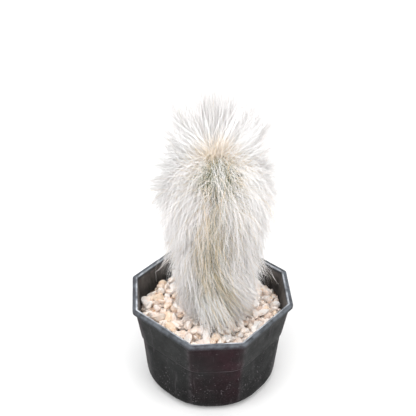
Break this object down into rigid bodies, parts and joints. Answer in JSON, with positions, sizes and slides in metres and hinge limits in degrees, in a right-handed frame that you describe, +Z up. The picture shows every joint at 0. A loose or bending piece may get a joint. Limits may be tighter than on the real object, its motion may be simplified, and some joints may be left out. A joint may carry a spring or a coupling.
{
  "type": "potted old man cactus",
  "caption": "Columnar cactus in a coat of long white hair, standing in soil topped with pale stone chips, in an eight-sided tapered plastic pot with a rolled lip.",
  "frame": {"origin": "centre of the pot's foot, on the surface it stands on", "axes": "+Z up; -Y towards the front, square to a short side of the pot; +X to the right"},
  "size_m": [0.1064, 0.1064, 0.2048],
  "materials": {
    "pot_plastic": "matte, slightly dusty charcoal with a paler worn lip",
    "soil": "dark, coarse and matte",
    "stone_chips": "matte chipped marble in cream, off-white and rose",
    "cactus_hair": "fine translucent white hair with a warm grey cast"
  },
  "bodies": {
    "root": {"pot": "pot_plastic", "soil": "soil", "gravel": "stone_chips", "old_man_cactus": "cactus_hair"}
  },
  "joints": []
}
